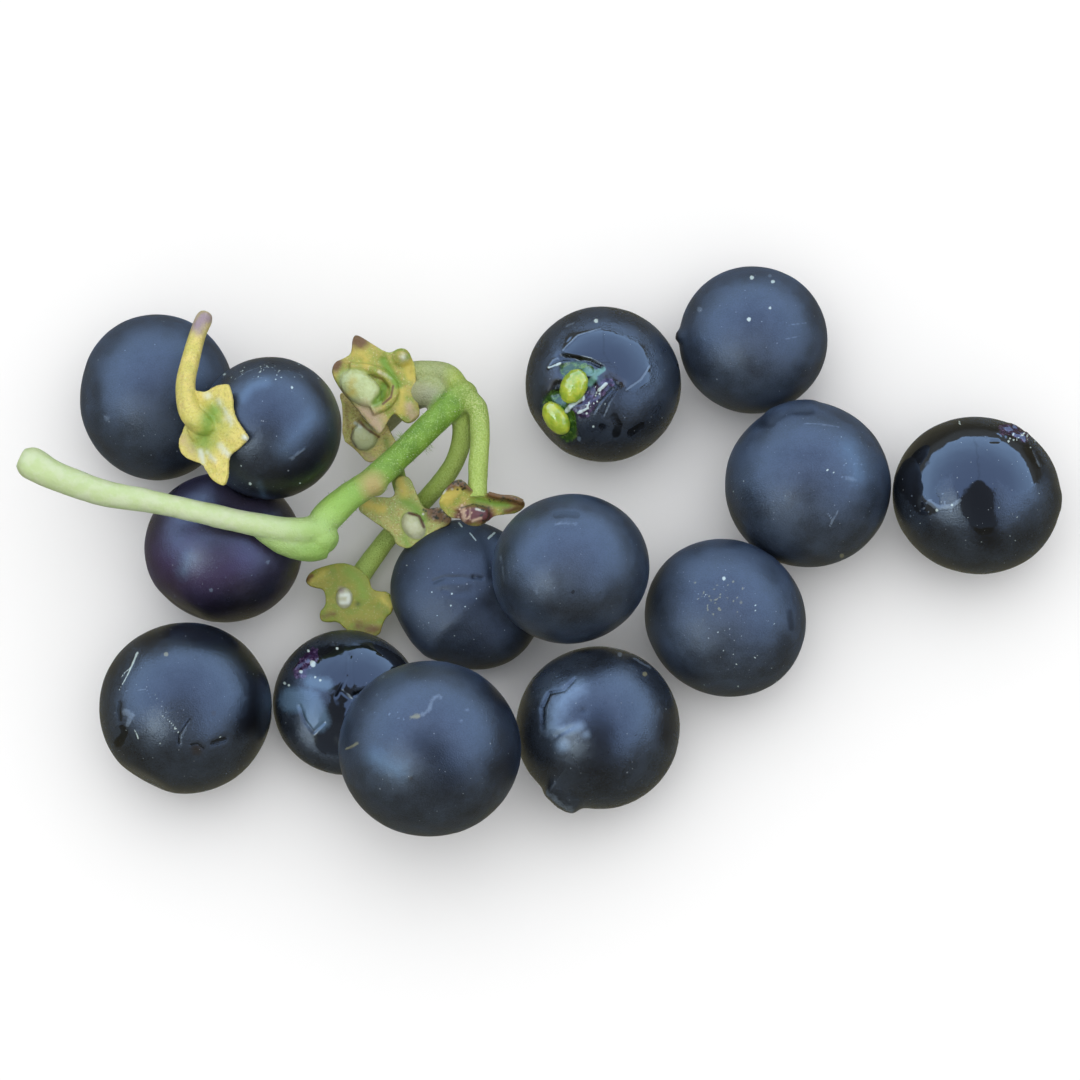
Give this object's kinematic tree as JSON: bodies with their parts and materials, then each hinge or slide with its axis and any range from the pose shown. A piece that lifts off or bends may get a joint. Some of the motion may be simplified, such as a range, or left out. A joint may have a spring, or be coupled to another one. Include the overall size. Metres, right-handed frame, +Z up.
{
  "type": "garden huckleberry cluster",
  "caption": "Picked cluster of round blue-black berries lying loosely round a cut green stalk with star-shaped empty calyces.",
  "frame": {"origin": "on the surface the cluster lies on, below the middle of its bounding box", "axes": "+X along the cluster's length, towards the single berry at its end; +Y away from the viewer; +Z up"},
  "size_m": [0.0862, 0.0502, 0.0195],
  "materials": {
    "berry_skin": "waxy blue-black berry skin with a faint bloom",
    "purple_berry_skin": "waxy purple-black berry skin",
    "stalk_green": "fresh green plant stem",
    "calyx_green": "dull yellow-green leafy calyx",
    "seed_green": "wet yellow-green seed"
  },
  "bodies": {
    "root": {"berry_01": "berry_skin", "berry_02": "berry_skin", "berry_03": "purple_berry_skin", "berry_04": "berry_skin", "berry_05": "berry_skin", "berry_06": "berry_skin", "berry_07": "berry_skin", "berry_08": "berry_skin", "berry_09": "berry_skin", "berry_10": "berry_skin", "berry_11": "berry_skin", "berry_12": "berry_skin", "berry_13": "berry_skin", "berry_14": "berry_skin", "calyx_1": "calyx_green", "calyx_2": "calyx_green", "calyx_3": "calyx_green", "calyx_4": "calyx_green", "calyx_5": "calyx_green", "calyx_6": "calyx_green", "seed_1": "seed_green", "seed_2": "seed_green", "stalk": "stalk_green"}
  },
  "joints": []
}
